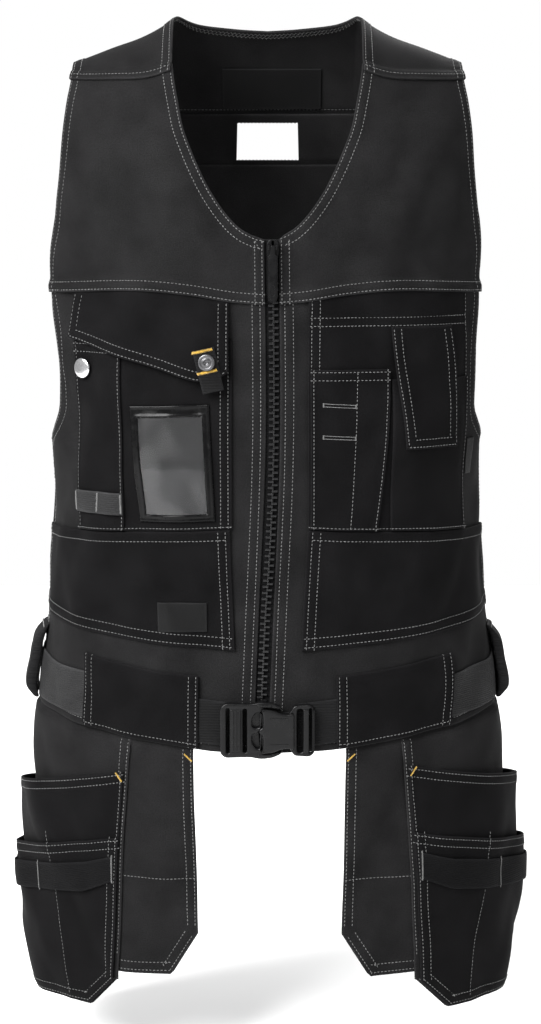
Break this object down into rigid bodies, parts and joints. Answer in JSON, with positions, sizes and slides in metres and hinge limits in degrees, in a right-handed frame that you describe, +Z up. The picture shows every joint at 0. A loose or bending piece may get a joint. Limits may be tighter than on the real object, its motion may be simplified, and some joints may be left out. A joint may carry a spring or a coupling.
{
  "type": "utility work vest",
  "caption": "Sleeveless zipped work vest with chest pockets, a buckled belt and holster pockets that hang below the hem.",
  "frame": {"origin": "between the two shoulder straps, at the height of the middle of their ridges, where the vest sits on the shoulders", "axes": "+Z up along the wearer, -Y towards the front, +X to the right of someone who looks at the front"},
  "size_m": [0.4828, 0.2552, 0.9055],
  "materials": {
    "canvas": "matte",
    "heavy_canvas": "matte",
    "zip_tape": "matte",
    "webbing": "matte",
    "black_plastic": "satin",
    "clear_plastic": "gloss",
    "steel": "polished",
    "dark_metal": "satin",
    "label_cloth": "matte"
  },
  "bodies": {
    "vest": {"yoke": "canvas", "front_upper_left": "canvas", "front_upper_right": "canvas", "front_lower_left": "canvas", "front_lower_right": "canvas", "back_vent_band": "canvas", "back_lower": "canvas", "holster_bag_left": "canvas", "holster_bag_right": "canvas", "chest_pocket_left": "heavy_canvas", "pen_pocket_left": "heavy_canvas", "flap_left": "heavy_canvas", "id_frame": "heavy_canvas", "lower_pocket_left": "heavy_canvas", "lower_pocket_right": "heavy_canvas", "map_pocket": "heavy_canvas", "pen_pocket_right": "heavy_canvas", "phone_pocket": "heavy_canvas", "phone_flap": "heavy_canvas", "tunnel_left": "heavy_canvas", "tunnel_right": "heavy_canvas", "holster_panel_left": "heavy_canvas", "holster_panel_right": "heavy_canvas", "upper_tool_pocket_left": "heavy_canvas", "upper_tool_pocket_right": "heavy_canvas", "lower_tool_pocket_left": "heavy_canvas", "lower_tool_pocket_right": "heavy_canvas", "zip_tape_left": "zip_tape", "zip_tape_right": "zip_tape", "pen_loops_left": "webbing", "flap_strap": "webbing", "waist_elastic": "webbing", "belt_web_left": "webbing", "belt_web_right": "webbing", "side_loop_left": "webbing", "side_loop_right": "webbing", "tool_loops_left": "webbing", "tool_loops_right": "webbing", "zip_chain": "black_plastic", "zip_slider": "black_plastic", "buckle_male": "black_plastic", "buckle_female": "black_plastic", "id_pane": "clear_plastic", "knife_button": "steel", "snap": "dark_metal", "neck_label": "label_cloth", "pocket_label": "label_cloth", "side_tab": "label_cloth"},
    "pull": {"zip_pull": "black_plastic"}
  },
  "joints": [
    {"name": "zip_pull_hinge", "type": "hinge", "parent": "vest", "child": "pull", "pos_m": [0.00474, -0.12566, -0.181], "axis": [-1, 0, 0], "range_deg": [0, 160]}
  ]
}
